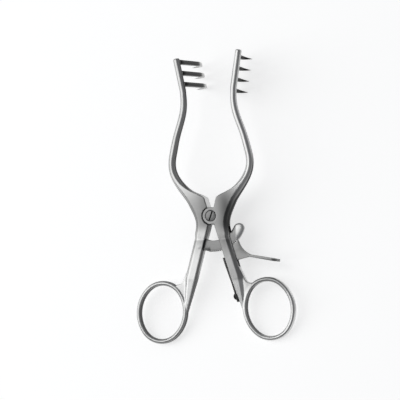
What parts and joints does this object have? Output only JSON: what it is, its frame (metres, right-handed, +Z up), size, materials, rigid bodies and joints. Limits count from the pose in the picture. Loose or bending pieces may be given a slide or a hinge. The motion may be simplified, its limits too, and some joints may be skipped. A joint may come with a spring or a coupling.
{
  "type": "self retaining retractor",
  "caption": "Self retaining retractor: bowed arms with hooked prongs on a screw lap joint, finger rings, and a curved ratchet bar with a sprung release lever.",
  "frame": {"origin": "middle of the bounding box, on the table it rests on", "axes": "+Y along the tool to the tips, +X to its right seen from the front, where the screw head shows, +Z up from the table"},
  "size_m": [0.0722, 0.1286, 0.0265],
  "materials": {
    "satin_steel": "satin ground stainless steel",
    "ratchet_steel": "flat ground stainless steel",
    "spring_steel": "polished spring steel",
    "screw_steel": "turned stainless steel"
  },
  "bodies": {
    "left_side": {"left_half": "satin_steel", "ratchet_bar": "ratchet_steel", "tang_pins": "screw_steel", "pivot_screw": "screw_steel"},
    "right_side": {"right_half": "satin_steel", "lever_pin": "screw_steel", "leaf_spring": "spring_steel", "leaf_screw": "screw_steel"},
    "lever": {"release_lever": "ratchet_steel"}
  },
  "joints": [
    {"name": "screw_joint", "type": "hinge", "parent": "left_side", "child": "right_side", "pos_m": [0.00037, -0.0102, 0.01175], "axis": [0, -0.1868, 0.9824], "range_deg": [-27, 20.5]},
    {"name": "lever_hinge", "type": "hinge", "parent": "right_side", "child": "lever", "pos_m": [0.00817, -0.02733, 0.00849], "axis": [0, -0.1868, 0.9824], "range_deg": [-10, 0], "stiffness_Nm_per_rad": 0.14, "springref_deg": 5.73, "deforming": ["leaf_spring"]}
  ]
}
